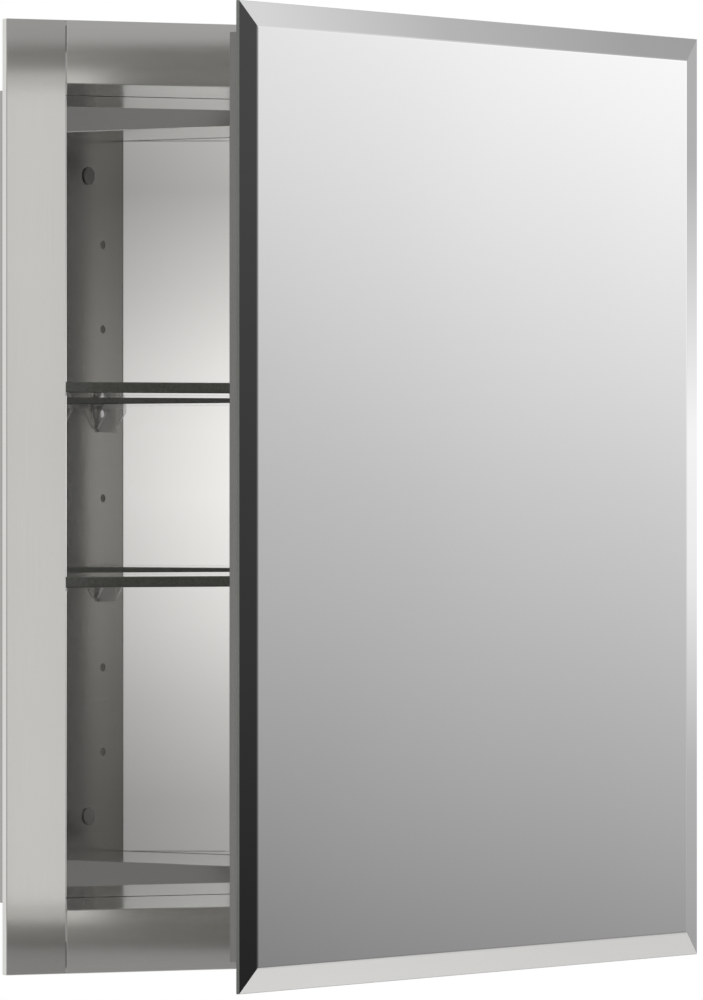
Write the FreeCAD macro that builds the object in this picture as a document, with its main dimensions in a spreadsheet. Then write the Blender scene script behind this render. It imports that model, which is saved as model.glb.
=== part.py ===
import FreeCAD, Part
import os
import Sketcher
from FreeCAD import Placement, Rotation, Vector

# A recessed bathroom medicine cabinet: a sheet metal box behind a flat frame, a framed
# mirror door on two butt hinges, and two glass shelves on clear clips. Millimetres.
# The origin is the centre of the box's back. +X is right, +Y is into the wall, +Z is up.
# The door stands part open. Its pieces are drawn shut, about the hinge pins, then swung.

doc = FreeCAD.newDocument("MedicineCabinet")
sheet = doc.addObject("Spreadsheet::Sheet", "dim")

DIMENSIONS = (
    ("frame_width", "386", "face frame, edge to edge"),
    ("frame_height", "510", "face frame, top to bottom"),
    ("frame_border", "34", "width of the frame's stiles and rails"),
    ("frame_lip", "6.5", "return at the frame's outer edge, back to the wall"),
    ("rail_proud", "0.6", "rails stand in front of the stiles by this"),
    ("body_depth", "114", "stile face to the back of the box"),
    ("steel", "1", "sheet thickness of the box and the frame"),
    ("back_mirror_face", "5", "back of the box to the mirror's face"),
    ("mirror_glass", "3", "thickness of the two inner mirrors"),
    ("mirror_play", "0.2", "gap around the mirror in the box"),
    ("overshoot", "1", "cuts run past the metal by this"),
    ("through", "4", "depth of a cut through one sheet"),
    ("hole_play", "0.1", "clearance around screws and plug shanks"),
    ("tape_inset", "30", "mirror tape short of the mirror's ends"),
    ("tape_pitch", "80", "spacing of the tape strips"),
    ("tape_width", "20", "width of a tape strip"),
    ("bracket_inset", "3", "corner plates in from the frame's edge"),
    ("bracket_arm", "26", "arm length of the frame's corner plates"),
    ("bracket_width", "14", "arm width of the frame's corner plates"),
    ("door_width", "406.4", "front mirror, 16 inches"),
    ("door_height", "506", "front mirror, nearly 20 inches"),
    ("door_thickness", "20", "front mirror's face to the door frame's back"),
    ("door_gap", "1", "door frame to face frame, door shut"),
    ("door_angle", "29", "how far the door stands open, in degrees"),
    ("pin_inset", "7", "hinge axis in from the door's edge"),
    ("pin_forward", "4.5", "hinge axis in front of the stile"),
    ("front_glass", "4", "front mirror's thickness"),
    ("bevel_width", "12.7", "ground border of the front mirror, half an inch"),
    ("bevel_drop", "2", "what the border loses in thickness"),
    ("backing", "1.4", "sheet behind the front mirror"),
    ("backing_inset", "4", "sheet in from the glass edge"),
    ("rim_inset", "15", "door frame in from the glass edge"),
    ("rim_wall", "1.5", "side wall of the door frame's section"),
    ("rim_flange", "9.5", "back flange of the door frame's section"),
    ("rim_flange_wall", "1.8", "thickness of that flange"),
    ("gasket", "1.2", "strip between the inner mirror and the flange"),
    ("gasket_width", "5", "width of that strip"),
    ("core_play", "0.5", "gap between the filler board and the door frame"),
    ("key_play", "0.2", "gap between a corner key or magnet and the door frame"),
    ("key_width", "5", "width of the corner keys and magnets"),
    ("key_arm", "25", "arm length of the corner keys"),
    ("key_thick", "6", "thickness of the corner keys"),
    ("key_depth", "1", "corner keys behind the front sheet"),
    ("magnet_rise", "150", "magnets above and below the centre"),
    ("magnet_length", "30", "length of a magnet"),
    ("magnet_thick", "5", "thickness of a magnet"),
    ("magnet_depth", "3", "magnets behind the front sheet"),
    ("bumper_rise", "200", "soft stops above and below the centre"),
    ("bumper_radius", "3.5", "radius of a soft stop"),
    ("bumper_thick", "0.7", "thickness of a soft stop"),
    ("shelf_glass", "5.8", "shelf thickness"),
    ("shelf_edge", "0.5", "ground edges of the shelves"),
    ("shelf_depth", "90", "shelf, front to back"),
    ("shelf_end_play", "1.5", "gap at the shelf's ends and back"),
    ("upper_shelf_seat", "56", "underside of the upper shelf above the centre"),
    ("clip_pitch", "52.4", "spacing of the rows of clip holes"),
    ("clip_hole", "2.5", "radius of a clip hole"),
    ("clip_peg", "2.4", "radius of a clip's peg"),
    ("clip_drop", "5", "peg axis below the shelf"),
    ("clip_width", "26", "clip across its top"),
    ("clip_foot", "19", "clip across its foot"),
    ("clip_height", "16.5", "clip, top to foot"),
    ("clip_reach", "8.5", "clip out from the wall"),
    ("clip_wall", "1.8", "clip's own thickness"),
    ("cheek_tip", "4", "height of a cheek at its free end"),
    ("cheek_rise", "2", "cheeks stop above the clip's foot by this"),
    ("cheek_inset", "6", "front cheek in from the ledge's end"),
    ("peg_past", "0.4", "peg through the wall by this"),
    ("clip_front", "32", "front row of clips behind the stile face"),
    ("clip_rear", "88", "rear row of clips behind the stile face"),
    ("fixing_front", "25", "front fixing holes behind the stile face"),
    ("fixing_rear", "73", "rear fixing holes behind the stile face"),
    ("fixing_rise", "198", "fixing holes above and below the centre"),
    ("fixing_hole", "2.5", "radius of a fixing hole"),
    ("plug_radius", "5.5", "cap of a hole plug"),
    ("plug_cap", "1.2", "thickness of that cap"),
    ("hinge_rise", "170", "hinge centre above or below the cabinet's centre"),
    ("hinge_length", "60", "hinge, end to end"),
    ("knuckle", "2.5", "outer radius of the knuckles"),
    ("hinge_pin", "1.2", "radius of the pin"),
    ("pin_play", "0.05", "clearance around the pin"),
    ("knuckle_play", "0.2", "gap between knuckles"),
    ("flange_leaf", "0.8", "leaf on the stile"),
    ("door_leaf", "1", "leaf on the door"),
    ("leaf_reach", "24", "stile leaf in from the frame's edge"),
    ("leaf_screw_inset", "19", "its screws in from the frame's edge"),
    ("leaf_front_play", "0.3", "door leaf behind the front sheet"),
    ("web", "1", "thickness of the webs that hold the knuckles"),
    ("screw_shank", "1.4", "radius of the hinge screws"),
    ("screw_head", "1.2", "height of a screw's head"),
    ("screw_rim", "1.1", "head wider than its shank by this all round"),
    ("stile_screw", "6", "screw behind the stile's face"),
    ("door_screw", "5", "screw behind the door frame's side"),
    ("door_screw_depth", "4.5", "door screws behind the door frame's front edge"),
)

for row, (alias, value, meaning) in enumerate(DIMENSIONS, start=1):
    sheet.set("A%d" % row, meaning)
    sheet.set("B%d" % row, value)
    sheet.setAlias("B%d" % row, alias)
doc.recompute()

PARTS = []


def number(expression):
    """The present value of an expression over the sheet, to draw a sketch near its answer."""
    value = sheet.evalExpression(expression)
    return float(getattr(value, "Value", value))


def add_polygon(sketch, corners):
    """A closed outline whose every corner is held to two expressions."""
    points = [Vector(number(across), number(up), 0) for across, up in corners]
    first = sketch.GeometryCount
    for here, there in zip(points, points[1:] + points[:1]):
        sketch.addGeometry(Part.LineSegment(here, there), False)
    for index, (across, up) in enumerate(corners):
        line = first + index
        following = first + (index + 1) % len(corners)
        sketch.addConstraint(Sketcher.Constraint("Coincident", line, 2, following, 1))
        point = points[index]
        held_across = sketch.addConstraint(Sketcher.Constraint("DistanceX", line, 1, point.x))
        held_up = sketch.addConstraint(Sketcher.Constraint("DistanceY", line, 1, point.y))
        sketch.setExpression("Constraints[%d]" % held_across, across)
        sketch.setExpression("Constraints[%d]" % held_up, up)


def add_circle(sketch, across, up, radius):
    """A round outline held to three expressions."""
    centre = Vector(number(across), number(up), 0)
    circle = sketch.addGeometry(Part.Circle(centre, Vector(0, 0, 1), number(radius)), False)
    held_across = sketch.addConstraint(Sketcher.Constraint("DistanceX", circle, 3, centre.x))
    held_up = sketch.addConstraint(Sketcher.Constraint("DistanceY", circle, 3, centre.y))
    held_radius = sketch.addConstraint(Sketcher.Constraint("Radius", circle, number(radius)))
    sketch.setExpression("Constraints[%d]" % held_across, across)
    sketch.setExpression("Constraints[%d]" % held_up, up)
    sketch.setExpression("Constraints[%d]" % held_radius, radius)


def new_sketch(body, name, plane, offset):
    """A sketch on one of the body's own planes, moved out along its normal."""
    sketch = body.newObject("Sketcher::SketchObject", name)
    planes = [item for item in body.Origin.OriginFeatures if item.Role == plane]
    sketch.AttachmentSupport = (planes[0], [""])
    sketch.MapMode = "FlatFace"
    sketch.setExpression("AttachmentOffset.Base.z", offset)
    return sketch


def extruded(name, plane, offset, length, polygons, circles=()):
    """A body with one pad. XZ_Plane looks along +Y, so its offset and pad run towards -Y."""
    body = doc.addObject("PartDesign::Body", name)
    sketch = new_sketch(body, name + "_outline", plane, offset)
    for corners in polygons:
        add_polygon(sketch, corners)
    for across, up, radius in circles:
        add_circle(sketch, across, up, radius)
    pad = body.newObject("PartDesign::Pad", name + "_pad")
    pad.Profile = sketch
    pad.setExpression("Length", length)
    body.Tip = pad
    return body


def rectangle(left, right, bottom, top):
    return ((left, bottom), (right, bottom), (right, top), (left, top))


def part(item, label=None):
    """Take an object as a finished sub-part, which gets a file of its own."""
    item.Label = label or item.Name
    PARTS.append(item)
    return item


def swung(item):
    """Carry a door piece from the hinge axis to where the open door stands."""
    item.Placement = Placement(Vector(), Rotation(Vector(0, 0, 1), number("dim.door_angle")))
    item.setExpression("Placement.Base.x", PIN_X)
    item.setExpression("Placement.Base.y", PIN_Y)
    item.setExpression("Placement.Rotation.Angle", "dim.door_angle")
    return item


def group(name, items):
    compound = doc.addObject("Part::Compound", name)
    compound.Links = items
    return compound


FRAME_X = "dim.frame_width / 2"
FRAME_Z = "dim.frame_height / 2"
INNER_X = "(dim.frame_width / 2 - dim.frame_border)"
INNER_Z = "(dim.frame_height / 2 - dim.frame_border)"
PIN_X = "dim.door_width / 2 - dim.pin_inset"
PIN_Y = "-dim.body_depth - dim.pin_forward"


def mirrored_x(corners):
    return tuple(("-(%s)" % across, up) for across, up in corners)


# Face frame. Each member is sheet folded once: a face and a lip back to the wall.

STILE_SECTION = (
    (INNER_X, "-dim.body_depth"),
    (FRAME_X, "-dim.body_depth"),
    (FRAME_X, "-dim.body_depth + dim.frame_lip"),
    (FRAME_X + " - dim.steel", "-dim.body_depth + dim.frame_lip"),
    (FRAME_X + " - dim.steel", "-dim.body_depth + dim.steel"),
    (INNER_X, "-dim.body_depth + dim.steel"),
)
left_stile = extruded("left_stile", "XY_Plane", "-" + FRAME_Z, "dim.frame_height",
                      [mirrored_x(STILE_SECTION)])
part(left_stile)

right_stile = extruded("right_stile", "XY_Plane", "-" + FRAME_Z, "dim.frame_height",
                       [STILE_SECTION])
LEAF_SCREW_X = "dim.frame_width / 2 - dim.leaf_screw_inset"
SCREW_HOLE = "dim.screw_shank + dim.hole_play"
SCREW_STEP = "dim.hinge_length / 3"
HINGE_SCREW_LEVELS = tuple("%s1 * dim.hinge_rise %s %s" % (hinge, step, SCREW_STEP)
                           for hinge in "+-" for step in "+-")
screw_holes = new_sketch(right_stile, "right_stile_screw_holes", "XZ_Plane",
                         "dim.body_depth + dim.overshoot")
for level in HINGE_SCREW_LEVELS:
    add_circle(screw_holes, LEAF_SCREW_X, level, SCREW_HOLE)
screw_pocket = right_stile.newObject("PartDesign::Pocket", "right_stile_screw_pocket")
screw_pocket.Profile = screw_holes
screw_pocket.setExpression("Length", "dim.through")
right_stile.Tip = screw_pocket
part(right_stile)

# The rails run between the stiles, a little in front of them.
for name, side in (("top_rail", ""), ("bottom_rail", "-")):
    section = (
        ("-dim.body_depth - dim.rail_proud", side + INNER_Z),
        ("-dim.body_depth - dim.rail_proud", side + FRAME_Z),
        ("-dim.body_depth + dim.frame_lip", side + FRAME_Z),
        ("-dim.body_depth + dim.frame_lip", side + "(%s - dim.steel)" % FRAME_Z),
        ("-dim.body_depth - dim.rail_proud + dim.steel", side + "(%s - dim.steel)" % FRAME_Z),
        ("-dim.body_depth - dim.rail_proud + dim.steel", side + INNER_Z),
    )
    part(extruded(name, "YZ_Plane", "-" + INNER_X, "2 * " + INNER_X, [section]))

# Flat corner plates behind the frame tie each rail to its stiles.
for name, across, up in (("upper_left_corner_bracket", "-", ""),
                         ("upper_right_corner_bracket", "", ""),
                         ("lower_left_corner_bracket", "-", "-"),
                         ("lower_right_corner_bracket", "", "-")):
    far_x = "(%s - dim.bracket_inset)" % FRAME_X
    far_z = "(%s - dim.bracket_inset)" % FRAME_Z
    arm_x = "(%s - dim.frame_border - dim.bracket_arm / 2)" % far_x
    arm_z = "(%s - dim.frame_border - dim.bracket_arm / 2)" % far_z
    corner_x = "(%s - dim.bracket_width)" % far_x
    corner_z = "(%s - dim.bracket_width)" % far_z
    outline = (
        (across + far_x, up + far_z),
        (across + far_x, up + arm_z),
        (across + corner_x, up + arm_z),
        (across + corner_x, up + corner_z),
        (across + arm_x, up + corner_z),
        (across + arm_x, up + far_z),
    )
    part(extruded(name, "XZ_Plane", "dim.body_depth - 2 * dim.steel", "dim.steel", [outline]))

# Box. Four flat walls and a back, seam welded; the side walls carry every hole.

CLIP_LEVELS = tuple("dim.upper_shelf_seat - dim.clip_drop + %d * dim.clip_pitch" % step
                    for step in (2, 1, 0, -1, -2, -3, -4))
WALL_HOLES = []
for behind in ("dim.clip_front", "dim.clip_rear"):
    for level in CLIP_LEVELS:
        WALL_HOLES.append(("%s - dim.body_depth" % behind, level, "dim.clip_hole"))
for behind in ("dim.fixing_front", "dim.fixing_rear"):
    for sign in "+-":
        WALL_HOLES.append(("%s - dim.body_depth" % behind, "%s1 * dim.fixing_rise" % sign,
                           "dim.fixing_hole"))
side_outline = rectangle("-dim.body_depth + dim.steel", "-dim.steel",
                         "-%s - dim.steel" % INNER_Z, "%s + dim.steel" % INNER_Z)
part(extruded("left_side", "YZ_Plane", "-%s - dim.steel" % INNER_X, "dim.steel",
              [side_outline], WALL_HOLES))
part(extruded("right_side", "YZ_Plane", INNER_X, "dim.steel", [side_outline], WALL_HOLES))

cap_outline = rectangle("-" + INNER_X, INNER_X, "-dim.body_depth + dim.steel", "-dim.steel")
part(extruded("top_panel", "XY_Plane", INNER_Z, "dim.steel", [cap_outline]))
part(extruded("bottom_panel", "XY_Plane", "-%s - dim.steel" % INNER_Z, "dim.steel",
              [cap_outline]))

part(extruded("back_panel", "XZ_Plane", "0", "dim.steel",
              [rectangle("-%s - dim.steel" % INNER_X, "%s + dim.steel" % INNER_X,
                         "-%s - dim.steel" % INNER_Z, "%s + dim.steel" % INNER_Z)]))

TAPE_HALF = "(%s - dim.tape_inset)" % INNER_Z
TAPE_THICK = "dim.back_mirror_face - dim.mirror_glass - dim.steel"
part(extruded("mirror_tape", "XZ_Plane", "dim.steel", TAPE_THICK,
              [rectangle("%s * dim.tape_pitch - dim.tape_width / 2" % place,
                         "%s * dim.tape_pitch + dim.tape_width / 2" % place,
                         "-" + TAPE_HALF, TAPE_HALF)
               for place in ("-1.5", "-0.5", "0.5", "1.5")]))

MIRROR_X = "(%s - dim.mirror_play)" % INNER_X
MIRROR_Z = "(%s - dim.mirror_play)" % INNER_Z
part(extruded("back_mirror", "XZ_Plane", "dim.back_mirror_face - dim.mirror_glass",
              "dim.mirror_glass", [rectangle("-" + MIRROR_X, MIRROR_X, "-" + MIRROR_Z, MIRROR_Z)]))

# Caps over the rear fixing holes, which are only opened for a different stud position.
for name, side, start in (("left_hole_plugs", "-", "-%s" % INNER_X),
                          ("right_hole_plugs", "", "%s - dim.plug_cap" % INNER_X)):
    shank_start = "-%s - dim.steel" % INNER_X if side == "-" else INNER_X
    rear = "dim.fixing_rear - dim.body_depth"
    plugs = []
    for sign in "+-":
        level = "%s1 * dim.fixing_rise" % sign
        tag = "upper" if sign == "+" else "lower"
        plug = extruded("%s_%s" % (name, tag), "YZ_Plane", start, "dim.plug_cap", [],
                        [(rear, level, "dim.plug_radius")])
        shank = new_sketch(plug, "%s_%s_shank" % (name, tag), "YZ_Plane", shank_start)
        add_circle(shank, rear, level, "dim.fixing_hole - dim.hole_play")
        shank_pad = plug.newObject("PartDesign::Pad", "%s_%s_shank_pad" % (name, tag))
        shank_pad.Profile = shank
        shank_pad.setExpression("Length", "dim.steel")
        plug.Tip = shank_pad
        plugs.append(plug)
    part(group(name, plugs))

# Shelves, and the clear clips they rest on.

SHELF_X = "(%s - dim.shelf_end_play)" % INNER_X
SHELF_BACK = "-dim.back_mirror_face - dim.shelf_end_play"
LOWER_SEAT = "dim.upper_shelf_seat - 2 * dim.clip_pitch"
shelf_outline = rectangle("-" + SHELF_X, SHELF_X, SHELF_BACK + " - dim.shelf_depth", SHELF_BACK)
for name, seat in (("upper_shelf", "dim.upper_shelf_seat"), ("lower_shelf", LOWER_SEAT)):
    shelf = extruded(name, "XY_Plane", seat, "dim.shelf_glass", [shelf_outline])
    doc.recompute()
    blank = shelf.Tip
    edges = ["Edge%d" % (index + 1) for index in range(len(blank.Shape.Edges))]
    ground_edges = shelf.newObject("PartDesign::Chamfer", name + "_ground_edges")
    ground_edges.Base = (blank, edges)
    ground_edges.setExpression("Size", "dim.shelf_edge")
    shelf.Tip = ground_edges
    part(shelf)


def clip(name, side, behind, seat):
    """One clip: a wall plate, a ledge, two tapering cheeks and a peg into the wall."""
    wall = "%s%s" % (side, INNER_X)
    out = "-" if side == "" else ""
    middle = "(%s - dim.body_depth)" % behind
    back = "dim.clip_width / 2"
    foot = "(dim.clip_foot - dim.clip_width / 2)"
    plate_outline = (
        ("%s + %s" % (middle, back), seat),
        ("%s - %s" % (middle, back), seat),
        ("%s - %s" % (middle, foot), "%s - dim.clip_height" % seat),
        ("%s + %s" % (middle, back), "%s - dim.clip_height" % seat),
    )
    low_x = wall if side == "-" else "%s - dim.clip_wall" % wall
    plate = extruded(name, "YZ_Plane", low_x, "dim.clip_wall", [plate_outline])
    ledge_x = wall if side == "-" else "%s - dim.clip_reach" % wall
    ledge = new_sketch(plate, name + "_ledge", "YZ_Plane", ledge_x)
    add_polygon(ledge, rectangle("%s - %s" % (middle, back), "%s + %s" % (middle, back),
                                 "%s - dim.clip_wall" % seat, seat))
    ledge_pad = plate.newObject("PartDesign::Pad", name + "_ledge_pad")
    ledge_pad.Profile = ledge
    ledge_pad.setExpression("Length", "dim.clip_reach")
    cheek_foot = "%s - dim.clip_height + dim.cheek_rise" % seat
    cheek_corners = (
        (wall, seat),
        ("%s %s dim.clip_reach" % (wall, out or "+"), seat),
        ("%s %s dim.clip_reach" % (wall, out or "+"), "%s - dim.cheek_tip" % seat),
        ("%s %s dim.clip_wall" % (wall, out or "+"), cheek_foot),
        (wall, cheek_foot),
    )
    for tag, near in (("rear", "-%s - %s" % (middle, back)),
                      ("front", "-%s + %s - dim.cheek_inset" % (middle, back))):
        cheek = new_sketch(plate, "%s_%s_cheek" % (name, tag), "XZ_Plane", near)
        add_polygon(cheek, cheek_corners)
        cheek_pad = plate.newObject("PartDesign::Pad", "%s_%s_cheek_pad" % (name, tag))
        cheek_pad.Profile = cheek
        cheek_pad.setExpression("Length", "dim.clip_wall")
    peg_x = "%s - dim.steel - dim.peg_past" % wall if side == "-" else wall
    peg = new_sketch(plate, name + "_peg", "YZ_Plane", peg_x)
    add_circle(peg, middle, "%s - dim.clip_drop" % seat, "dim.clip_peg")
    peg_pad = plate.newObject("PartDesign::Pad", name + "_peg_pad")
    peg_pad.Profile = peg
    peg_pad.setExpression("Length", "dim.steel + dim.peg_past")
    plate.Tip = peg_pad
    return plate


for shelf_name, seat in (("upper", "dim.upper_shelf_seat"), ("lower", "(%s)" % LOWER_SEAT)):
    for side_name, side in (("left", "-"), ("right", "")):
        for row_name, behind in (("front", "dim.clip_front"), ("rear", "dim.clip_rear")):
            part(clip("%s_%s_%s_clip" % (shelf_name, side_name, row_name), side, behind, seat))

# Door. x and y are measured from the hinge axis, with the door shut; y = -FACE is its face.

FACE = "(dim.door_thickness + dim.door_gap - dim.pin_forward)"
EDGE = "dim.pin_inset"
LATCH = "(dim.pin_inset - dim.door_width)"
TOP = "dim.door_height / 2"


def inset_rectangle(inset):
    return rectangle("%s + %s" % (LATCH, inset), "%s - %s" % (EDGE, inset),
                     "-%s + %s" % (TOP, inset), "%s - %s" % (TOP, inset))


front_mirror = extruded("front_mirror", "XZ_Plane", FACE + " - dim.front_glass",
                        "dim.front_glass", [inset_rectangle("0")])
doc.recompute()
blank = front_mirror.Tip
face_edges = [
    "Edge%d" % (index + 1) for index, edge in enumerate(blank.Shape.Edges)
    if abs(edge.BoundBox.YMin + number(FACE)) < 0.01 and edge.BoundBox.YLength < 0.01
]
bevel = front_mirror.newObject("PartDesign::Chamfer", "front_mirror_bevel")
bevel.Base = (blank, face_edges)
bevel.ChamferType = "Two distances"
bevel.FlipDirection = True
bevel.setExpression("Size", "dim.bevel_width")
bevel.setExpression("Size2", "dim.bevel_drop")
front_mirror.Tip = bevel
part(swung(front_mirror))

part(swung(extruded("mirror_backing", "XZ_Plane", FACE + " - dim.front_glass - dim.backing",
                    "dim.backing", [inset_rectangle("dim.backing_inset")])))

# Door frame: an aluminium angle with mitred corners, its flange over the inner mirror.
RIM_FRONT = "(dim.front_glass + dim.backing)"
RIM_DEPTH = "(dim.door_thickness - %s)" % RIM_FRONT


def rim_section(outer, inward):
    """The angle's section. outer is its side face, inward the sign towards the middle."""
    wall = "%s %s dim.rim_wall" % (outer, inward)
    flange = "%s %s dim.rim_flange" % (outer, inward)
    front = "-%s + %s" % (FACE, RIM_FRONT)
    back = "-%s + dim.door_thickness" % FACE
    step = "%s - dim.rim_flange_wall" % back
    return ((outer, front), (outer, back), (flange, back), (flange, step), (wall, step),
            (wall, front))


RIM_TOP = "(%s - dim.rim_inset)" % TOP
RIM_HINGE = "(%s - dim.rim_inset)" % EDGE
RIM_LATCH = "(%s + dim.rim_inset)" % LATCH
MITRE = "(dim.rim_flange + dim.overshoot)"
DOOR_SCREW_Y = "-%s + %s + dim.door_screw_depth" % (FACE, RIM_FRONT)


def mitred(body, name, triangles):
    """Cut both ends of a frame member to 45 degrees."""
    cut_sketch = new_sketch(body, name + "_mitre", "XZ_Plane", FACE + " + dim.overshoot")
    for corners in triangles:
        add_polygon(cut_sketch, corners)
    cut = body.newObject("PartDesign::Pocket", name + "_mitre_cut")
    cut.Profile = cut_sketch
    cut.setExpression("Length", "dim.door_thickness + 2 * dim.overshoot")
    body.Tip = cut
    return body


for name, outer, inward in (("door_hinge_stile", RIM_HINGE, "-"),
                            ("door_latch_stile", RIM_LATCH, "+")):
    stile = extruded(name, "XY_Plane", "-" + RIM_TOP, "2 * " + RIM_TOP,
                     [rim_section(outer, inward)])
    beyond = "%s %s %s" % (outer, inward, MITRE)
    triangles = []
    for up in ("", "-"):
        triangles.append((
            (outer, "%s%s" % (up, RIM_TOP)),
            (beyond, "%s(%s - %s)" % (up, RIM_TOP, MITRE)),
            (beyond, "%s(%s + dim.overshoot)" % (up, RIM_TOP)),
            (outer, "%s(%s + dim.overshoot)" % (up, RIM_TOP)),
        ))
    stile = mitred(stile, name, triangles)
    if name == "door_hinge_stile":
        doc.recompute()
        side_holes = new_sketch(stile, name + "_screw_holes", "YZ_Plane",
                                outer + " + dim.overshoot")
        for level in HINGE_SCREW_LEVELS:
            add_circle(side_holes, DOOR_SCREW_Y, level, SCREW_HOLE)
        side_pocket = stile.newObject("PartDesign::Pocket", name + "_screw_pocket")
        side_pocket.Profile = side_holes
        side_pocket.setExpression("Length", "dim.through")
        stile.Tip = side_pocket
    part(swung(stile))

for name, up in (("door_top_rail", ""), ("door_bottom_rail", "-")):
    outer = up + RIM_TOP
    inward = "-" if up == "" else "+"
    section = tuple((depth, level) for level, depth in rim_section(outer, inward))
    rail = extruded(name, "YZ_Plane", RIM_LATCH, "%s - %s" % (RIM_HINGE, RIM_LATCH), [section])
    beyond = "%s %s %s" % (outer, inward, MITRE)
    triangles = []
    for end, into in ((RIM_HINGE, "-"), (RIM_LATCH, "+")):
        away = "+" if into == "-" else "-"
        triangles.append((
            (end, outer),
            ("%s %s %s" % (end, into, MITRE), beyond),
            ("%s %s dim.overshoot" % (end, away), beyond),
            ("%s %s dim.overshoot" % (end, away), outer),
        ))
    part(swung(mitred(rail, name, triangles)))

# Inside the door frame: filler board, inner mirror and the strip that seats it.
CORE_INSET = "(dim.rim_inset + dim.rim_flange)"
MIRROR_BACK = "(dim.door_thickness - dim.rim_flange_wall - dim.gasket)"
INNER_MIRROR_INSET = "(dim.rim_inset + dim.rim_wall + dim.core_play)"
part(swung(extruded("door_core", "XZ_Plane", "%s - %s + dim.mirror_glass" % (FACE, MIRROR_BACK),
                    "%s - dim.mirror_glass - %s" % (MIRROR_BACK, RIM_FRONT),
                    [inset_rectangle(CORE_INSET)])))
part(swung(extruded("inner_mirror", "XZ_Plane", "%s - %s" % (FACE, MIRROR_BACK),
                    "dim.mirror_glass", [inset_rectangle(INNER_MIRROR_INSET)])))
part(swung(extruded("inner_mirror_gasket", "XZ_Plane",
                    "%s - dim.door_thickness + dim.rim_flange_wall" % FACE, "dim.gasket",
                    [inset_rectangle(INNER_MIRROR_INSET),
                     inset_rectangle("(%s + dim.gasket_width)" % INNER_MIRROR_INSET)])))

# Corner keys lie in the channel between the filler board and the frame.
KEY_NEAR = "(dim.rim_inset + dim.rim_wall + dim.key_play)"
KEY_FAR = "(%s + dim.key_width)" % KEY_NEAR
KEY_ARM = "(dim.rim_inset + dim.rim_wall + dim.key_arm)"
key_outlines = []
for edge, into in ((EDGE, "-"), (LATCH, "+")):
    for up in ("", "-"):
        near_x, far_x, arm_x = ["%s %s %s" % (edge, into, inset)
                                for inset in (KEY_NEAR, KEY_FAR, KEY_ARM)]
        near_z, far_z, arm_z = ["%s(%s - %s)" % (up, TOP, inset)
                                for inset in (KEY_NEAR, KEY_FAR, KEY_ARM)]
        key_outlines.append(((near_x, near_z), (arm_x, near_z), (arm_x, far_z),
                             (far_x, far_z), (far_x, arm_z), (near_x, arm_z)))
part(swung(extruded("door_corner_keys", "XZ_Plane",
                    "%s - %s - dim.key_depth - dim.key_thick" % (FACE, RIM_FRONT),
                    "dim.key_thick", key_outlines)))

# Magnets in the same channel on the latch side pull the door to the steel stile.
magnet_outlines = []
for sign in "+-":
    middle = "%s1 * dim.magnet_rise" % sign
    magnet_outlines.append(rectangle("%s + %s" % (LATCH, KEY_NEAR), "%s + %s" % (LATCH, KEY_FAR),
                                     "%s - dim.magnet_length / 2" % middle,
                                     "%s + dim.magnet_length / 2" % middle))
part(swung(extruded("latch_magnets", "XZ_Plane",
                    "%s - %s - dim.magnet_depth - dim.magnet_thick" % (FACE, RIM_FRONT),
                    "dim.magnet_thick", magnet_outlines)))

# Soft stops on the latch side keep the frames apart.
part(swung(extruded("door_bumpers", "XZ_Plane",
                    "%s - dim.door_thickness - dim.bumper_thick" % FACE, "dim.bumper_thick", [],
                    [("%s + dim.rim_flange / 2" % RIM_LATCH, "%s1 * dim.bumper_rise" % sign,
                      "dim.bumper_radius") for sign in "+-"])))

# Hinges. A pin held in the stile's leaf, with the door's knuckle in the middle.

THIRD = "dim.hinge_length / 6"
BORE = "dim.hinge_pin + dim.pin_play"


def knuckle_pad(body, name, middle_x, middle_y, low, length):
    sketch = new_sketch(body, name, "XY_Plane", low)
    add_circle(sketch, middle_x, middle_y, "dim.knuckle")
    pad = body.newObject("PartDesign::Pad", name + "_pad")
    pad.Profile = sketch
    pad.setExpression("Length", length)
    body.Tip = pad


def web_pad(body, name, outline, low, length):
    sketch = new_sketch(body, name, "XY_Plane", low)
    add_polygon(sketch, outline)
    pad = body.newObject("PartDesign::Pad", name + "_pad")
    pad.Profile = sketch
    pad.setExpression("Length", length)
    body.Tip = pad


def pin_bore(body, name, middle_x, middle_y, low, radius):
    sketch = new_sketch(body, name, "XY_Plane", low)
    add_circle(sketch, middle_x, middle_y, radius)
    pocket = body.newObject("PartDesign::Pocket", name + "_pocket")
    pocket.Profile = sketch
    pocket.Reversed = True
    pocket.setExpression("Length", "dim.hinge_length + 2 * dim.overshoot")
    body.Tip = pocket


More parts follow.
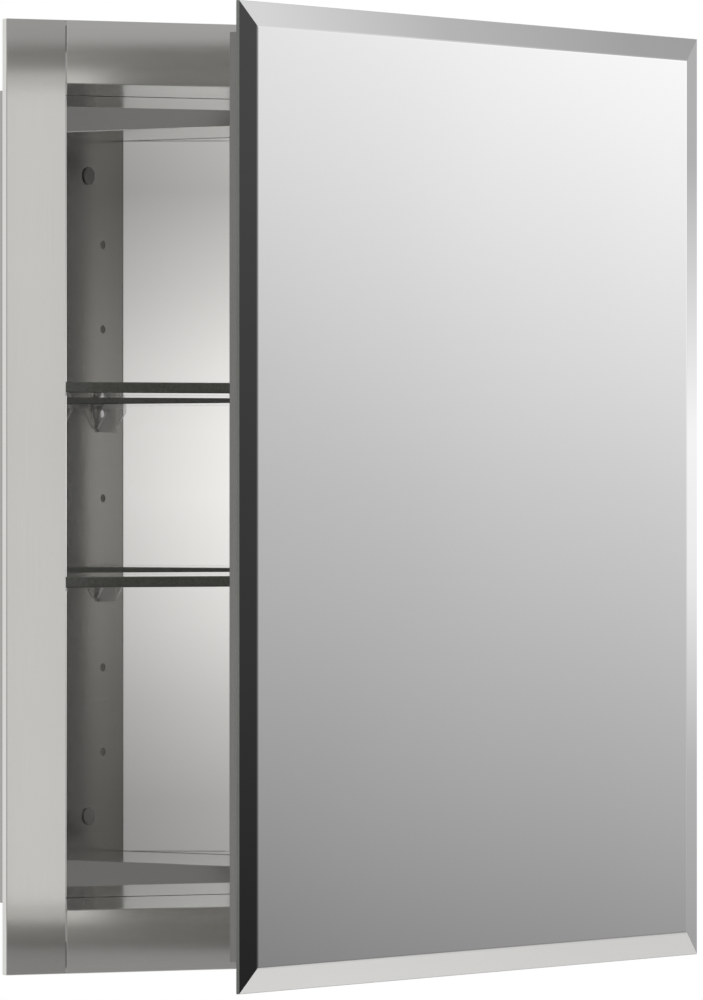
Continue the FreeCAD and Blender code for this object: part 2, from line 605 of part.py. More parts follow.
for which, sign in (("upper", "+"), ("lower", "-")):
    centre = "%s1 * dim.hinge_rise" % sign
    low_end = "%s - dim.hinge_length / 2" % centre
    bore_start = "%s - dim.overshoot" % low_end

    # Leaf on the stile: a flat plate, two webs and the two outer knuckles.
    name = "%s_hinge_stile_leaf" % which
    web_right = "%s - dim.knuckle + dim.web" % PIN_X
    leaf = extruded(name, "XY_Plane", low_end, "dim.hinge_length",
                    [rectangle("dim.frame_width / 2 - dim.leaf_reach", web_right,
                               "-dim.body_depth - dim.flange_leaf", "-dim.body_depth")])
    for tag, low in (("low", low_end),
                     ("high", "%s + %s + dim.knuckle_play" % (centre, THIRD))):
        length = "dim.hinge_length / 3 - dim.knuckle_play"
        web_pad(leaf, "%s_%s_web" % (name, tag),
                rectangle("%s - dim.knuckle" % PIN_X, web_right, PIN_Y,
                          "-dim.body_depth - dim.flange_leaf / 2"), low, length)
        knuckle_pad(leaf, "%s_%s_knuckle" % (name, tag), PIN_X, PIN_Y, low, length)
    pin_bore(leaf, name + "_bore", PIN_X, PIN_Y, bore_start, "dim.hinge_pin")
    screw_sketch = new_sketch(leaf, name + "_screw_holes", "XZ_Plane",
                              "dim.body_depth + dim.flange_leaf + dim.overshoot")
    for step in "+-":
        add_circle(screw_sketch, LEAF_SCREW_X, "%s %s %s" % (centre, step, SCREW_STEP),
                   SCREW_HOLE)
    screw_cut = leaf.newObject("PartDesign::Pocket", name + "_screw_cut")
    screw_cut.Profile = screw_sketch
    screw_cut.setExpression("Length", "dim.through")
    leaf.Tip = screw_cut
    part(leaf)

    # Leaf on the door: a plate on the side of its frame, one web and the middle knuckle.
    name = "%s_hinge_door_leaf" % which
    plate = rectangle(RIM_HINGE, RIM_HINGE + " + dim.door_leaf",
                      "-%s + %s + dim.leaf_front_play" % (FACE, RIM_FRONT),
                      "-dim.knuckle + dim.door_leaf")
    leaf = extruded(name, "XY_Plane", low_end, "dim.hinge_length", [plate])
    web_low = "%s - %s" % (centre, THIRD)
    web_pad(leaf, name + "_web", rectangle(RIM_HINGE, "0", "-dim.knuckle",
                                           "-dim.knuckle + dim.door_leaf"),
            web_low, "dim.hinge_length / 3")
    knuckle_pad(leaf, name + "_knuckle", "0", "0", web_low, "dim.hinge_length / 3")
    pin_bore(leaf, name + "_bore", "0", "0", bore_start, BORE)
    screw_sketch = new_sketch(leaf, name + "_screw_holes", "YZ_Plane",
                              RIM_HINGE + " + dim.door_leaf + dim.overshoot")
    for step in "+-":
        add_circle(screw_sketch, DOOR_SCREW_Y, "%s %s %s" % (centre, step, SCREW_STEP),
                   SCREW_HOLE)
    screw_cut = leaf.newObject("PartDesign::Pocket", name + "_screw_cut")
    screw_cut.Profile = screw_sketch
    screw_cut.setExpression("Length", "dim.through")
    leaf.Tip = screw_cut
    part(swung(leaf))

    part(extruded("%s_hinge_pin" % which, "XY_Plane", low_end, "dim.hinge_length", [],
                  [(PIN_X, PIN_Y, "dim.hinge_pin")]))


def screw(name, plane, head_start, shank_start, shank, across, up):
    """A screw: a flat head and a shank behind it."""
    body = extruded(name, plane, head_start, "dim.screw_head", [],
                    [(across, up, "dim.screw_shank + dim.screw_rim")])
    sketch = new_sketch(body, name + "_shank", plane, shank_start)
    add_circle(sketch, across, up, "dim.screw_shank")
    pad = body.newObject("PartDesign::Pad", name + "_shank_pad")
    pad.Profile = sketch
    pad.setExpression("Length", shank)
    body.Tip = pad
    return body


# The stile's screws stand where the shut door is hollow behind its frame.
stile_screws = []
door_screws = []
for index, level in enumerate(HINGE_SCREW_LEVELS, start=1):
    stile_screws.append(screw("stile_screw_%d" % index, "XZ_Plane",
                              "dim.body_depth + dim.flange_leaf",
                              "dim.body_depth - dim.stile_screw",
                              "dim.stile_screw + dim.flange_leaf", LEAF_SCREW_X, level))
    door_screws.append(screw("door_screw_%d" % index, "YZ_Plane",
                             RIM_HINGE + " + dim.door_leaf", RIM_HINGE + " - dim.door_screw",
                             "dim.door_screw + dim.door_leaf", DOOR_SCREW_Y, level))
part(group("stile_hinge_screws", stile_screws))
part(swung(group("door_hinge_screws", door_screws)))

doc.recompute()

failed = [item.Name for item in doc.Objects if "Invalid" in item.State or "Error" in item.State]
if failed:
    raise RuntimeError("failed to compute: %s" % ", ".join(failed))

os.makedirs("parts", exist_ok=True)
for item in PARTS:
    if item.Shape.isNull() or not item.Shape.isValid():
        raise RuntimeError("bad shape: " + item.Label)
for item in PARTS:
    item.Shape.exportStep(os.path.join("parts", item.Label + ".step"))
    print("%-28s %2d solids %10.1f mm3" % (item.Label, len(item.Shape.Solids), item.Shape.Volume))
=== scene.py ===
import math

import bmesh
import bpy
from mathutils import Matrix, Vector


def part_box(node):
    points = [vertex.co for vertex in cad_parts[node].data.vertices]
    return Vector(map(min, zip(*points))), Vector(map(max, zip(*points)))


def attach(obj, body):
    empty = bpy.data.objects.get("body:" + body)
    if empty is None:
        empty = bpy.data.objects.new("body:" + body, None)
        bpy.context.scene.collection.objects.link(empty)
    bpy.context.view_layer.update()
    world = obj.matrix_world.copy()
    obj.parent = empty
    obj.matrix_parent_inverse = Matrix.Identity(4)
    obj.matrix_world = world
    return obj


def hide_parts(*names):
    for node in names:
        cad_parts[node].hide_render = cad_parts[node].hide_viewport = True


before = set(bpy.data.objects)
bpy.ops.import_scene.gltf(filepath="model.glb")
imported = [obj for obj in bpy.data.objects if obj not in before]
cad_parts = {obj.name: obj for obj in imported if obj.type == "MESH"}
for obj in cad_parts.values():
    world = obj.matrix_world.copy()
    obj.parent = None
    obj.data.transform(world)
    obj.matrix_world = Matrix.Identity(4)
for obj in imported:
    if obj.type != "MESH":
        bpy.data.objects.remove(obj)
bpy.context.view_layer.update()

scene = bpy.context.scene

# Camera. It stands nearly four metres off, level with the middle of the cabinet and to
# the left of it, with a long lens.

camera_data = bpy.data.cameras.new("camera")
camera = bpy.data.objects.new("camera", camera_data)
scene.collection.objects.link(camera)
camera_data.sensor_width = 36.0
camera_data.lens = 261.5
camera_data.shift_x = -0.0066
camera_data.shift_y = -0.0086
camera_data.clip_end = 100.0
camera.location = (-1.5575, -3.7405, 0.0029)
camera.rotation_euler = (math.radians(90), 0, math.radians(-23.39))
scene.camera = camera
scene.view_settings.view_transform = "Standard"

# The facing mirrors hand the light to and fro many times before it leaves.
scene.cycles.max_bounces = 18
scene.cycles.glossy_bounces = 16
scene.cycles.transmission_bounces = 12
scene.cycles.transparent_max_bounces = 16

# Studio surround. Soft white behind the cabinet and to its left, a tall panel on the right
# that is bright above the horizon and dims towards the floor, and darkness in front. It is
# one sky of greys over the compass heading, clockwise from the wall, and the height angle.


def linear(hex_colour):
    """An sRGB hex colour as linear RGBA."""
    values = []
    for start in (1, 3, 5):
        value = int(hex_colour[start:start + 2], 16) / 255
        curve = ((value + 0.055) / 1.055) ** 2.4
        values.append(value / 12.92 if value <= 0.04045 else curve)
    return (*values, 1.0)


def add_node(tree, kind, settings=None, links=None):
    """Add a node. links holds, by number or name, each input's value or incoming socket."""
    node = tree.nodes.new(kind)
    for name, value in (settings or {}).items():
        setattr(node, name, value)
    for name, value in (links or {}).items():
        if isinstance(value, bpy.types.NodeSocket):
            tree.links.new(value, node.inputs[name])
        else:
            node.inputs[name].default_value = value
    return node


def fill_ramp(ramp_node, stops):
    """Give a colour ramp its stops: places from 0 to 1, each with a grey or a colour."""
    ramp = ramp_node.color_ramp
    while len(ramp.elements) < len(stops):
        ramp.elements.new(1.0)
    for element, (place, colour) in zip(ramp.elements, stops):
        element.position = place
        element.color = colour if isinstance(colour, tuple) else (colour, colour, colour, 1.0)
    return ramp_node.outputs[0]


world = bpy.data.worlds.new("studio")
scene.world = world
world.use_nodes = True
sky = world.node_tree
sky.nodes.clear()
direction = add_node(sky, "ShaderNodeTexCoord").outputs["Generated"]
east, north, upward = add_node(sky, "ShaderNodeSeparateXYZ", links={0: direction}).outputs
compass = add_node(sky, "ShaderNodeMath", {"operation": "ARCTAN2"}, {0: east, 1: north})
turns = add_node(sky, "ShaderNodeMath", {"operation": "DIVIDE"},
                 {0: compass.outputs[0], 1: 2 * math.pi})
around = add_node(sky, "ShaderNodeMath", {"operation": "WRAP"},
                  {0: turns.outputs[0], 1: 1.0, 2: 0.0}).outputs[0]
slope = add_node(sky, "ShaderNodeMath", {"operation": "ARCSINE"}, {0: upward})
rise = add_node(sky, "ShaderNodeMapRange", {"clamp": True},
                {0: slope.outputs[0], 1: math.radians(-30), 2: math.radians(30)}).outputs[0]


def over_compass(stops):
    """A grey for each heading in degrees."""
    ramp = add_node(sky, "ShaderNodeValToRGB", links={0: around})
    return fill_ramp(ramp, [(heading / 360, grey) for heading, grey in stops])


def over_height(stops):
    """A grey for each height angle in degrees, from -30 to 30."""
    ramp = add_node(sky, "ShaderNodeValToRGB", links={0: rise})
    return fill_ramp(ramp, [((angle + 30) / 60, grey) for angle, grey in stops])


def sky_mix(share, low, high):
    """low where share is 0, high where it is 1."""
    return add_node(sky, "ShaderNodeMix", {"data_type": "FLOAT"},
                    {0: share, 2: low, 3: high}).outputs[0]


level = over_compass(((0, 1.0), (70, 1.0), (80, 0.84), (93, 0.79), (96.1, 0.69), (99.2, 0.55),
                      (106, 0.22), (117, 0.040), (138, 0.12), (150, 0.40), (165, 0.46),
                      (205, 0.50), (212, 0.33), (217, 0.22), (228, 0.24), (268, 0.20),
                      (290, 0.22), (305, 0.95), (320, 1.05), (340, 1.05), (360, 1.0)))
right_panel = over_height(((-24, 1.1), (-14, 0.9), (-8, 0.40), (-4, 0.43), (0, 0.98),
                           (4, 1.60), (8, 1.5), (13, 1.0), (24, 0.95)))
far_right = over_height(((-24, 0.9), (-8, 0.35), (-3.6, 0.43), (-2.2, 0.56), (-0.6, 1.04),
                         (0.5, 1.12), (1.6, 0.83), (2.6, 0.55), (8, 0.5), (24, 0.9)))
front = over_height(((-20, 0.6), (-4, 0.78), (0, 1.0), (4, 1.2), (20, 1.4)))
upper_right = over_compass(((0, 1.0), (92, 0.44), (93.9, 0.49), (94.5, 0.56), (95.25, 0.64),
                            (96, 0.79), (96.8, 1.1), (99, 1.3), (110, 1.3), (360, 1.0)))
in_right = over_compass(((0, 0.0), (84, 0.0), (90, 1.0), (125, 1.0), (138, 0.0), (360, 0.0)))
in_far_right = over_compass(((0, 0.0), (55, 0.0), (68, 1.0), (84, 1.0), (90, 0.0), (360, 0.0)))
in_front = over_compass(((0, 0.0), (125, 0.0), (140, 1.0), (190, 1.0), (240, 0.0), (360, 0.0)))
high_up = over_height(((-30, 0.0), (7, 0.0), (10, 1.0), (30, 1.0)))
right_height = sky_mix(high_up, right_panel, upper_right)
heights = sky_mix(in_right, 1.0, right_height)
heights = sky_mix(in_far_right, heights, far_right)
heights = sky_mix(in_front, heights, front)
strength = add_node(sky, "ShaderNodeMath", {"operation": "MULTIPLY"}, {0: level, 1: heights})
background = add_node(sky, "ShaderNodeBackground", links={"Strength": strength.outputs[0]})
background.inputs["Color"].default_value = (1.0, 1.0, 1.0, 1.0)
add_node(sky, "ShaderNodeOutputWorld", links={0: background.outputs[0]})

# Studio floor and overhead lamp. A painted floor lies well below the cabinet, which hangs
# on a wall in use. It is grey beneath the cabinet, a painted shadow, and pale further off,
# and one soft lamp hangs above it.


def new_material(name):
    """An empty material, its object coordinates and its shader."""
    material = bpy.data.materials.new(name)
    material.use_nodes = True
    tree = material.node_tree
    tree.nodes.clear()
    place = add_node(tree, "ShaderNodeTexCoord").outputs["Object"]
    shader = add_node(tree, "ShaderNodeBsdfPrincipled")
    add_node(tree, "ShaderNodeOutputMaterial", links={0: shader.outputs[0]})
    return material, tree, place, shader


def new_object(name, shape, materials):
    """A mesh object from a bmesh, with its materials."""
    mesh = bpy.data.meshes.new(name)
    shape.to_mesh(mesh)
    shape.free()
    for material in materials:
        mesh.materials.append(material)
    item = bpy.data.objects.new(name, mesh)
    scene.collection.objects.link(item)
    return item


floor_with_painted_shadow, tree, place, shader = new_material("matt_floor_with_painted_shadow")
distance = add_node(tree, "ShaderNodeVectorMath", {"operation": "LENGTH"}, {0: place})
away = add_node(tree, "ShaderNodeMapRange", {"clamp": True},
                {0: distance.outputs["Value"], 1: 1.6, 2: 3.6})
# Painted shadow: the floor is grey near the cabinet and pales from 1.6 m to 3.6 m off.
painted_shadow_floor_tone = fill_ramp(add_node(tree, "ShaderNodeValToRGB", links={0: away.outputs[0]}),
                       [(0.0, linear("#A9A8A5")), (1.0, linear("#EDECEA"))])
tree.links.new(painted_shadow_floor_tone, shader.inputs["Base Color"])
shader.inputs["Roughness"].default_value = 0.8
shape = bmesh.new()
bmesh.ops.create_grid(shape, x_segments=1, y_segments=1, size=6.0)
bmesh.ops.translate(shape, verts=shape.verts, vec=(0, 0, -1.3))
new_object("studio_floor", shape, [floor_with_painted_shadow])

lamp_data = bpy.data.lights.new("overhead_lamp", "AREA")
lamp = bpy.data.objects.new("overhead_lamp", lamp_data)
scene.collection.objects.link(lamp)
lamp_data.shape = "RECTANGLE"
lamp_data.size = 3.0
lamp_data.size_y = 2.0
lamp_data.energy = 132.0
lamp.location = (0.0, -0.5, 2.6)
lamp.visible_glossy = False
lamp.visible_camera = False

# Studio cards. A narrow glowing card leans in the back left corner of the box, lit on its
# rear side only, so that the mirrors pass a bright, even field to and fro. Small dim cards
# inside the thickness of the side walls stand for the cavity behind the open clip holes:
# they are painted shade, a dark grey with a faint grey glow, seen in reflections only.


def studio_card(name, shape, material):
    """A card that is seen in reflections only."""
    card = new_object(name, shape, [material])
    card.visible_camera = False
    card.visible_diffuse = False
    card.visible_shadow = False
    card.visible_transmission = False
    return card


glass_low, glass_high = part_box("back_mirror")
wall_x = glass_low[0] - 0.0004
card_foot = (0.0002, 0.0003)
card_tip = (0.0562, 0.0356)
half_height = 0.22
glow, tree, place, shader = new_material("glowing_studio_card")
tree.nodes.remove(shader)
place_parts = add_node(tree, "ShaderNodeSeparateXYZ", links={0: place}).outputs
across, up = place_parts["X"], place_parts["Z"]
height = add_node(tree, "ShaderNodeMapRange", {"clamp": True},
                  {0: up, 1: -half_height, 2: half_height})
glow_by_height = ((-0.22, 0.38), (-0.19, 0.41), (-0.13, 0.555), (-0.08, 0.715), (-0.04, 0.815),
                  (0, 0.90), (0.04, 0.90), (0.08, 0.825), (0.13, 0.635), (0.19, 0.45),
                  (0.22, 0.49))
glow_height = fill_ramp(add_node(tree, "ShaderNodeValToRGB", links={0: height.outputs[0]}),
                        [(0.5 + rung / (2 * half_height), grey) for rung, grey in glow_by_height])
glow_across = add_node(tree, "ShaderNodeMapRange", {"clamp": True},
                       {0: across, 1: wall_x, 2: wall_x + 0.055, 3: 0.96, 4: 1.24})
glow_strength = add_node(tree, "ShaderNodeMath", {"operation": "MULTIPLY"},
                         {0: glow_height, 1: glow_across.outputs[0]})
lit = add_node(tree, "ShaderNodeEmission", links={"Strength": glow_strength.outputs[0]})
lit.inputs["Color"].default_value = linear("#FFFEFB")
clear = add_node(tree, "ShaderNodeBsdfTransparent")
rear_side = add_node(tree, "ShaderNodeNewGeometry").outputs["Backfacing"]
one_sided = add_node(tree, "ShaderNodeMixShader",
                     links={0: rear_side, 1: lit.outputs[0], 2: clear.outputs[0]})
output = next(node for node in tree.nodes if node.type == "OUTPUT_MATERIAL")
tree.links.new(one_sided.outputs[0], output.inputs[0])
shape = bmesh.new()
base = shape.edges.new([shape.verts.new((wall_x + out, glass_low[1] - forward, glass_low[2]))
                        for out, forward in (card_tip, card_foot)])
raised = bmesh.ops.extrude_edge_only(shape, edges=[base])["geom"]
bmesh.ops.translate(shape, verts=[item for item in raised if isinstance(item, bmesh.types.BMVert)],
                    vec=(0, 0, glass_high[2] - glass_low[2]))
shape.normal_update()
for face in shape.faces:
    if face.normal.y < 0:
        face.normal_flip()
studio_card("corner_glow_card", shape, glow)

hole_rows = (-0.082, -0.026)
middle_hole = 0.051
hole_pitch = 0.0524
open_holes = (-4, -3, -1, 1, 2)
middle_of_wall = 0.0003 - wall_x
# Painted shade: a dark grey card with a faint grey glow behind each open clip hole.
cavity, _, _, shader = new_material("painted_shade_studio_card")
shader.inputs["Base Color"].default_value = linear("#3A3937")
shader.inputs["Roughness"].default_value = 0.9
shader.inputs["Emission Color"].default_value = linear("#555450")
shader.inputs["Emission Strength"].default_value = 0.8
shape = bmesh.new()
for side in (-1, 1):
    for row in hole_rows:
        for step in open_holes:
            patch = bmesh.ops.create_grid(shape, x_segments=1, y_segments=1, size=0.003)["verts"]
            bmesh.ops.rotate(shape, verts=patch, matrix=Matrix.Rotation(math.pi / 2, 3, "Y"))
            bmesh.ops.translate(shape, verts=patch, vec=(
                side * middle_of_wall, row, middle_hole + step * hole_pitch))
studio_card("painted_shade_cavity_cards", shape, cavity)

# Face frame. Four lengths of aluminium sheet, folded to a face and a lip, satin anodised
# before folding. The rails butt between the stiles and stand a hair in front of them.


def grained(name, dark, light, smooth, rough, grain, bump, metallic=0.0):
    """A material whose colour and roughness run between two values with a fine pattern.
    grain is the size in millimetres of one mark of the pattern along x, y and z; bump is
    the depth of the marks in millimetres."""
    material, tree, place, shader = new_material(name)
    stretch = add_node(tree, "ShaderNodeMapping", links={
        "Vector": place, "Scale": tuple(1000 / size for size in grain)}).outputs[0]
    marks = add_node(tree, "ShaderNodeTexNoise",
                     links={"Vector": stretch, "Scale": 1.0, "Detail": 4.0}).outputs[0]
    clouds = add_node(tree, "ShaderNodeTexNoise",
                      links={"Vector": place, "Scale": 9.0, "Detail": 2.0}).outputs[0]
    blend = add_node(tree, "ShaderNodeMix", {"data_type": "FLOAT"},
                     {0: 0.5, 2: marks, 3: clouds}).outputs[0]
    colours = add_node(tree, "ShaderNodeValToRGB", links={0: blend})
    colour = fill_ramp(colours, [(0.3, linear(dark)), (0.7, linear(light))])
    tree.links.new(colour, shader.inputs["Base Color"])
    gloss = add_node(tree, "ShaderNodeMapRange", {"clamp": True},
                     {0: blend, 1: 0.3, 2: 0.7, 3: smooth, 4: rough}).outputs[0]
    tree.links.new(gloss, shader.inputs["Roughness"])
    relief = add_node(tree, "ShaderNodeBump",
                      links={"Height": marks, "Distance": bump / 1000, "Strength": 1.0})
    tree.links.new(relief.outputs[0], shader.inputs["Normal"])
    shader.inputs["Metallic"].default_value = metallic
    return material


def assign(material, *names):
    """Give CAD nodes this material."""
    for name in names:
        for material_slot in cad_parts[name].material_slots:
            material_slot.material = material


def merged_copy(name):
    """The shape of a CAD node, with its loose triangles joined into whole faces."""
    shape = bmesh.new()
    shape.from_mesh(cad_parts[name].data)
    bmesh.ops.remove_doubles(shape, verts=shape.verts, dist=0.000002)
    bmesh.ops.dissolve_limit(shape, angle_limit=math.radians(1), use_dissolve_boundaries=False,
                             verts=shape.verts, edges=shape.edges, delimit={"NORMAL"})
    return shape


def eased_copy(names, body, material, ease, segments=2):
    """Copies of CAD nodes with every sharp edge eased by a radius in millimetres."""
    for name in names:
        shape = merged_copy(name)
        sharp = [edge for edge in shape.edges
                 if len(edge.link_faces) == 2 and edge.calc_face_angle() > math.radians(35)]
        bmesh.ops.bevel(shape, geom=sharp, offset=ease / 1000, offset_type="OFFSET",
                        affect="EDGES", segments=segments, profile=0.5, material=-1,
                        clamp_overlap=True)
        for face in shape.faces:
            face.material_index = 0
        piece = new_object(name + "_eased", shape, [material])
        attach(piece, body)
        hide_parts(name)


# Satin anodising: a clear, slightly warm grey skin that blurs what it reflects. The fine
# lines of the rolled sheet run along each length; real lines are 0.1 mm apart, drawn wider.
# The rails are given a lighter grey than the stiles of the same sheet: painted light.
stile_aluminium = grained("satin_anodised_aluminium_upright", "#C6C5C2", "#CDCCC9", 0.105, 0.135,
                          (0.5, 0.5, 60), 0.0006, metallic=1.0)
# Painted light: the rails' grey is lighter than the stiles', though they are one finish.
rail_aluminium = grained("satin_anodised_aluminium_level_painted_lighter", "#D6D5D2", "#DDDCD9", 0.11, 0.14,
                         (60, 0.5, 0.5), 0.0006, metallic=1.0)
assign(stile_aluminium, "right_stile")
eased_copy(["left_stile"], "cabinet", stile_aluminium, 0.35)
eased_copy(["top_rail", "bottom_rail"], "cabinet", rail_aluminium, 0.35)

# Corner plates and box back. Hot dip galvanised steel sheet, spot welded behind the frame
# and around the back of the box, out of sight in use.

# Galvanising: dull blue grey with soft crystal patches some 7 mm across, finely dimpled.
galvanised_steel, tree, place, shader = new_material("galvanised_steel")
spangle = add_node(tree, "ShaderNodeTexVoronoi", {"feature": "SMOOTH_F1"},
                   {"Vector": place, "Scale": 1000 / 7, "Smoothness": 0.6})
crystals = add_node(tree, "ShaderNodeSeparateColor", links={0: spangle.outputs["Color"]})
zinc = fill_ramp(add_node(tree, "ShaderNodeValToRGB", links={0: crystals.outputs[0]}),
                 [(0.0, linear("#9FA1A1")), (0.5, linear("#A8AAAA")), (1.0, linear("#B1B3B2"))])
tree.links.new(zinc, shader.inputs["Base Color"])
zinc_gloss = add_node(tree, "ShaderNodeMapRange", {"clamp": True},
                      {0: crystals.outputs[1], 3: 0.34, 4: 0.52}).outputs[0]
tree.links.new(zinc_gloss, shader.inputs["Roughness"])
dimples = add_node(tree, "ShaderNodeTexNoise",
                   links={"Vector": place, "Scale": 1000 / 1.5, "Detail": 3.0}).outputs[0]
zinc_relief = add_node(tree, "ShaderNodeBump",
                       links={"Height": dimples, "Distance": 0.00002, "Strength": 1.0})
tree.links.new(zinc_relief.outputs[0], shader.inputs["Normal"])
shader.inputs["Metallic"].default_value = 1.0
assign(galvanised_steel, "upper_left_corner_bracket", "upper_right_corner_bracket",
       "lower_left_corner_bracket", "lower_right_corner_bracket", "back_panel")

# Box walls. Bright rolled aluminium sheet, clear anodised, so the walls are half a mirror
# when seen along their length. The side walls are pierced for clips and fixing screws.

# Bright anodising: a grey half mirror with soft lines, 0.6 mm apart, from the rolls.
wall_aluminium = grained("bright_anodised_aluminium", "#8A8985", "#949390", 0.14, 0.2,
                         (0.6, 60, 0.6), 0.0005, metallic=1.0)
assign(wall_aluminium, "left_side", "right_side")
# Polished aluminium: nearly a mirror, pale, with its lines along the box's width.
cap_aluminium = grained("polished_aluminium", "#F0F0EE", "#F4F4F2", 0.12, 0.16,
                        (60, 0.6, 0.6), 0.0002, metallic=1.0)
assign(cap_aluminium, "top_panel", "bottom_panel")

# Back mirror. Three millimetre float glass, silvered behind, held to the box by strips of
# double sided foam tape.

# Silvering: a clean, almost colourless mirror with the faintest ripple of float glass.
silvered_glass, tree, place, shader = new_material("silvered_float_glass")
ripple = add_node(tree, "ShaderNodeTexNoise",
                  links={"Vector": place, "Scale": 5.0, "Detail": 1.0}).outputs[0]
silver = fill_ramp(add_node(tree, "ShaderNodeValToRGB", links={0: ripple}),
                   [(0.3, linear("#F3F3F3")), (0.7, linear("#F6F6F6"))])
tree.links.new(silver, shader.inputs["Base Color"])
silver_gloss = add_node(tree, "ShaderNodeMapRange", {"clamp": True},
                        {0: ripple, 1: 0.3, 2: 0.7, 3: 0.004, 4: 0.012}).outputs[0]
tree.links.new(silver_gloss, shader.inputs["Roughness"])
silver_relief = add_node(tree, "ShaderNodeBump",
                         links={"Height": ripple, "Distance": 0.000002, "Strength": 1.0})
tree.links.new(silver_relief.outputs[0], shader.inputs["Normal"])
shader.inputs["Metallic"].default_value = 1.0
assign(silvered_glass, "back_mirror", "inner_mirror")

# Foam tape: matt white foam with open cells half a millimetre wide.
foam_tape = grained("white_foam_tape", "#D9D8D4", "#E6E5E2", 0.8, 0.95, (0.5, 0.5, 0.5), 0.06)
assign(foam_tape, "mirror_tape")

# Hole plugs. Moulded grey nylon buttons pressed into the rear fixing holes from inside.

# Moulded nylon: smooth, a little waxy, with a faint spark eroded texture.
grey_nylon = grained("moulded_grey_nylon", "#A3A29E", "#AEADA9", 0.32, 0.45, (0.4, 0.4, 0.4),
                     0.004)
eased_copy(["left_hole_plugs", "right_hole_plugs"], "cabinet", grey_nylon, 0.5,
           3)

# Shelves. Two plates of clear float glass, 5.8 mm thick, cut to the width of the box, with
# ground and polished edges. They lie loose on the clips.

# Float glass: colourless through its faces. Its edges take the green grey of the iron in the
# glass, darkened to nearly black with painted shade for how they look from the front.
shelf_glass, tree, place, shader = new_material("clear_float_glass")
facing = add_node(tree, "ShaderNodeNewGeometry").outputs["Normal"]
facing_parts = add_node(tree, "ShaderNodeSeparateXYZ", links={0: facing})
level_share = add_node(tree, "ShaderNodeMath", {"operation": "ABSOLUTE"},
                       {0: facing_parts.outputs["Z"]})
edge_share = add_node(tree, "ShaderNodeMapRange", {"clamp": True},
                      {0: level_share.outputs[0], 1: 0.95, 2: 0.8}).outputs[0]
grinding = add_node(tree, "ShaderNodeTexNoise",
                    links={"Vector": place, "Scale": 1000 / 1.2, "Detail": 3.0}).outputs[0]
# Edge colour: the iron's green grey, darkened with painted shade.
edge_tint_and_painted_shade = fill_ramp(add_node(tree, "ShaderNodeValToRGB", links={0: grinding}),
                        [(0.3, linear("#454641")), (0.7, linear("#53544F"))])
glass_colour = add_node(tree, "ShaderNodeMix", {"data_type": "RGBA"},
                        {0: edge_share, 6: linear("#F7F8F7"), 7: edge_tint_and_painted_shade}).outputs[2]
tree.links.new(glass_colour, shader.inputs["Base Color"])
see_through = add_node(tree, "ShaderNodeMath", {"operation": "SUBTRACT"},
                       {0: 1.0, 1: edge_share}).outputs[0]
tree.links.new(see_through, shader.inputs["Transmission Weight"])
edge_gloss = add_node(tree, "ShaderNodeMapRange", {"clamp": True},
                      {0: grinding, 1: 0.3, 2: 0.7, 3: 0.1, 4: 0.2}).outputs[0]
glass_gloss = add_node(tree, "ShaderNodeMath", {"operation": "MULTIPLY"},
                       {0: edge_gloss, 1: edge_share}).outputs[0]
tree.links.new(glass_gloss, shader.inputs["Roughness"])
glass_relief = add_node(tree, "ShaderNodeBump",
                        links={"Height": grinding, "Distance": 0.000004, "Strength": 0.5})
tree.links.new(glass_relief.outputs[0], shader.inputs["Normal"])
shader.inputs["IOR"].default_value = 1.52
assign(shelf_glass, "upper_shelf", "lower_shelf")

# Shelf clips. Clear injection moulded polycarbonate: a wall plate with a peg behind it, a
# ledge for the glass and two tapering cheeks.

# Clear polycarbonate: a thin near white skin, denser where it is seen edge on, with flow marks.
# The near white is painted sheen, standing in for the bright outlines of the clear plastic.
clear_plastic, tree, place, shader = new_material("clear_polycarbonate")
flow = add_node(tree, "ShaderNodeTexNoise",
                links={"Vector": place, "Scale": 1000 / 6, "Detail": 2.0}).outputs[0]
# Painted sheen: a near white colour where the clear plastic has none.
plastic = fill_ramp(add_node(tree, "ShaderNodeValToRGB", links={0: flow}),
                    [(0.3, linear("#EDEDEB")), (0.7, linear("#FAFAF9"))])
tree.links.new(plastic, shader.inputs["Base Color"])
turned_away = add_node(tree, "ShaderNodeLayerWeight", links={"Blend": 0.35}).outputs["Facing"]
# Painted sheen: the near white grows denser where the plastic is seen edge on.
painted_sheen_film = add_node(tree, "ShaderNodeMapRange", {"clamp": True},
                {0: turned_away, 1: 0.1, 2: 0.75, 3: 0.10, 4: 0.9}).outputs[0]
tree.links.new(painted_sheen_film, shader.inputs["Alpha"])
plastic_gloss = add_node(tree, "ShaderNodeMapRange", {"clamp": True},
                         {0: flow, 1: 0.3, 2: 0.7, 3: 0.05, 4: 0.14}).outputs[0]
tree.links.new(plastic_gloss, shader.inputs["Roughness"])
plastic_relief = add_node(tree, "ShaderNodeBump",
                          links={"Height": flow, "Distance": 0.00005, "Strength": 1.0})
tree.links.new(plastic_relief.outputs[0], shader.inputs["Normal"])
shader.inputs["IOR"].default_value = 1.58
shader.inputs["Coat Weight"].default_value = 0.6
clips = [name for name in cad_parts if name.endswith("_clip")]
eased_copy(clips, "cabinet", clear_plastic, 0.35)

# Front mirror. Four millimetre glass, silvered behind, its border ground to a half inch
# bevel and polished. The edge stays as a narrow ground land. It is bonded to a steel sheet.

softened_line = 0.0007
arris = 0.0002
shape = merged_copy("front_mirror")
shape.normal_update()
plates = [face for face in shape.faces if face.calc_area() > 0.1]
front_face = min(plates, key=lambda face: face.calc_center_median().y)
outward = front_face.normal.copy()
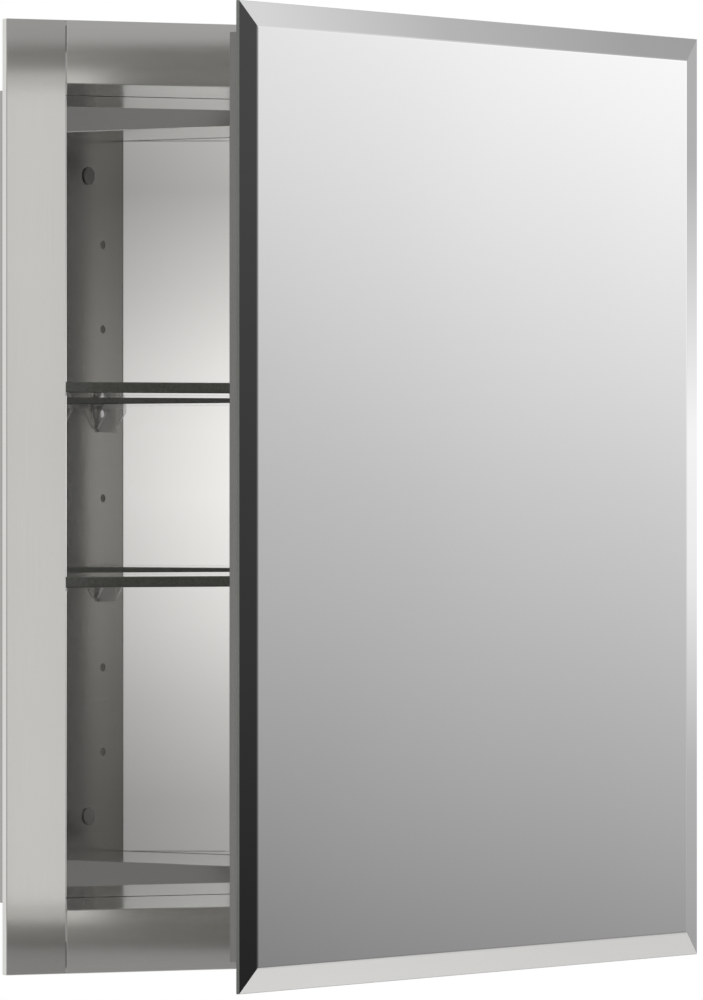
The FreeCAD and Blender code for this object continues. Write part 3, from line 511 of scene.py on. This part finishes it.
# The line between face and bevel is softened by polishing; the outer edges are eased.
bmesh.ops.bevel(shape, geom=list(front_face.edges), offset=softened_line, offset_type="OFFSET",
                affect="EDGES", segments=2, profile=0.5, material=-1, clamp_overlap=True)
outer = [edge for edge in shape.edges if len(edge.link_faces) == 2
         and edge.calc_face_angle() > math.radians(50)
         and abs(edge.link_faces[0].normal.dot(outward)) + abs(
             edge.link_faces[1].normal.dot(outward)) > 0.5]
bmesh.ops.bevel(shape, geom=outer, offset=arris, offset_type="OFFSET", affect="EDGES",
                segments=1, profile=0.5, material=-1, clamp_overlap=True)
for face in shape.faces:
    lean = face.normal.dot(outward)
    face.material_index = 0 if lean > 0.9 else (2 if lean < -0.9 else 1)

# Ground edge: grey green glass with a fine satin scratch from the wheel.
ground_glass = grained("ground_glass_edge", "#6E716D", "#8A8D88", 0.28, 0.45, (0.6, 0.6, 0.3),
                       0.01)
# Backing paint: the dull grey lacquer that seals the silver.
backing_paint = grained("grey_backing_paint", "#7C7D7B", "#868785", 0.55, 0.7, (1.5, 1.5, 1.5),
                        0.01)
front_glass = new_object("bevelled_front_mirror", shape,
                         [silvered_glass, ground_glass, backing_paint])
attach(front_glass, "door")
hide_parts("front_mirror")

# Mirror backing. A sheet of electro galvanised steel bonded behind the front mirror.

# Electro galvanising: an even, dull grey that blurs what it reflects.
backing_sheet = grained("dull_zinc_plated_sheet", "#9C9C98", "#A6A6A2", 0.35, 0.45,
                        (1.2, 1.2, 1.2), 0.004, metallic=1.0)
assign(backing_sheet, "mirror_backing")

# Door frame. Extruded aluminium angle, satin anodised, mitred at the corners and closed by
# steel corner keys pressed into its channel.

# Satin anodising, as on the face frame but paler and with a softer sheen.
door_aluminium = grained("satin_anodised_door_section", "#DDDCD9", "#E3E2DF", 0.16, 0.22,
                         (0.5, 0.5, 60), 0.0008, metallic=1.0)
assign(door_aluminium, "door_hinge_stile", "door_latch_stile")
door_rail_aluminium = grained("satin_anodised_door_rail", "#DDDCD9", "#E3E2DF", 0.16, 0.22,
                              (60, 60, 0.5), 0.0008, metallic=1.0)
assign(door_rail_aluminium, "door_top_rail", "door_bottom_rail")
# Zinc plate: a cool, cloudy grey.
key_steel = grained("zinc_plated_steel", "#A2A3A2", "#B4B5B3", 0.3, 0.42, (1.0, 1.0, 1.0), 0.005,
                    metallic=1.0)
assign(key_steel, "door_corner_keys")

# Inside the door. A hardboard filler, pressed from wood fibre, carries the inner mirror; a
# black rubber strip seats the mirror against the frame's flange.

# Hardboard: brown pressed fibre, quite matt. Rubber: nearly black, with a faint sheen.
# Sintered magnet: dark grey and granular.
hardboard = grained("brown_hardboard", "#6B4F36", "#876749", 0.7, 0.85, (0.8, 0.8, 3), 0.05)
assign(hardboard, "door_core")
black_rubber = grained("black_rubber_strip", "#1B1B1B", "#262626", 0.5, 0.68, (0.4, 0.4, 0.4),
                       0.01)
assign(black_rubber, "inner_mirror_gasket")
assign(grained("sintered_magnet", "#34353A", "#43454A", 0.4, 0.55, (0.5, 0.5, 0.5), 0.01),
       "latch_magnets")
eased_copy(["door_bumpers"], "door", clear_plastic, 0.2)

# Hinges and their screws. Steel butt hinges, nickel plated, with rolled knuckles on a pin,
# fixed by pan head screws.

# Nickel plate: bright, a little yellow, over faint rolling lines.
nickel_plate = grained("nickel_plated_steel", "#B9B4A8", "#C9C4B8", 0.12, 0.2, (0.5, 0.5, 20),
                       0.001, metallic=1.0)
assign(nickel_plate, "upper_hinge_stile_leaf", "lower_hinge_stile_leaf", "upper_hinge_pin",
       "lower_hinge_pin", "upper_hinge_door_leaf", "lower_hinge_door_leaf")
eased_copy(["stile_hinge_screws"], "cabinet", nickel_plate, 0.3)
eased_copy(["door_hinge_screws"], "door", nickel_plate, 0.3)
